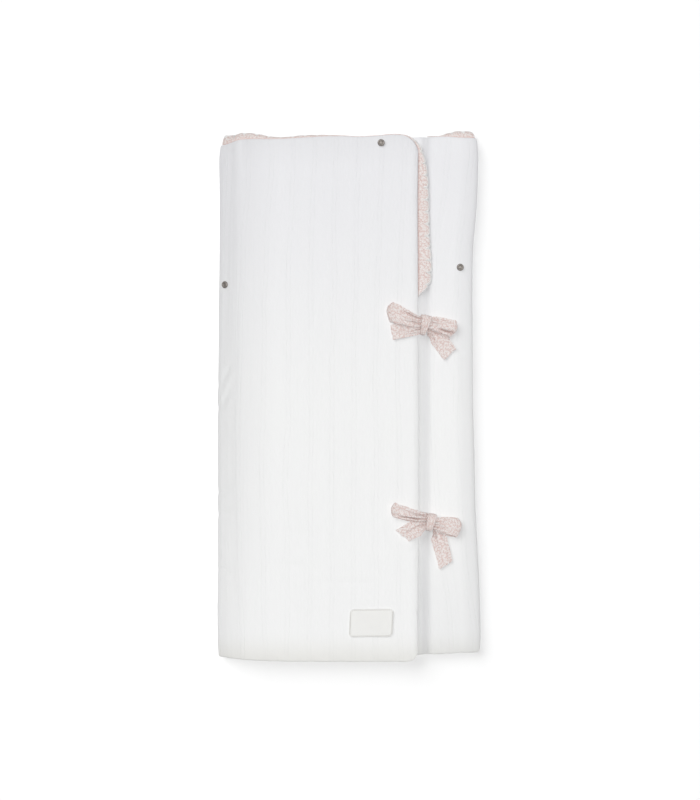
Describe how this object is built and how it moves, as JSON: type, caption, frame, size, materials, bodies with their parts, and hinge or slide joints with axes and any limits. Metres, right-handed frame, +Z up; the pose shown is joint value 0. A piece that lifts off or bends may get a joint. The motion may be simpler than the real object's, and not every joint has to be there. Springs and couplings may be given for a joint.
{
  "type": "folded baby swaddle blanket",
  "caption": "Padded muslin baby swaddle blanket, folded lengthwise in three, with a scalloped floral trim, ribbon bows that close the flap, ring snaps and a bare label patch",
  "frame": {"origin": "on the surface that the folded blanket lies on, under the middle of its outline", "axes": "+X across the folded blanket from the left fold to the right fold, +Y along it towards the trimmed end, +Z up"},
  "size_m": [0.3711, 0.7485, 0.0462],
  "materials": {
    "muslin": "matt white crinkled cotton muslin over padding",
    "floral_cotton": "matt cotton, pale pink with small flowers",
    "snap_metal": "satin grey metal",
    "label_cloth": "matt off-white woven cotton, left bare"
  },
  "bodies": {
    "root": {"blanket": "muslin", "trim_flap": "floral_cotton", "trim_right": "floral_cotton", "tie_flap_upper": "floral_cotton", "tie_panel_upper": "floral_cotton", "tie_flap_lower": "floral_cotton", "tie_panel_lower": "floral_cotton", "snap_top": "snap_metal", "snap_left": "snap_metal", "snap_right": "snap_metal", "label_patch": "label_cloth"}
  },
  "joints": []
}
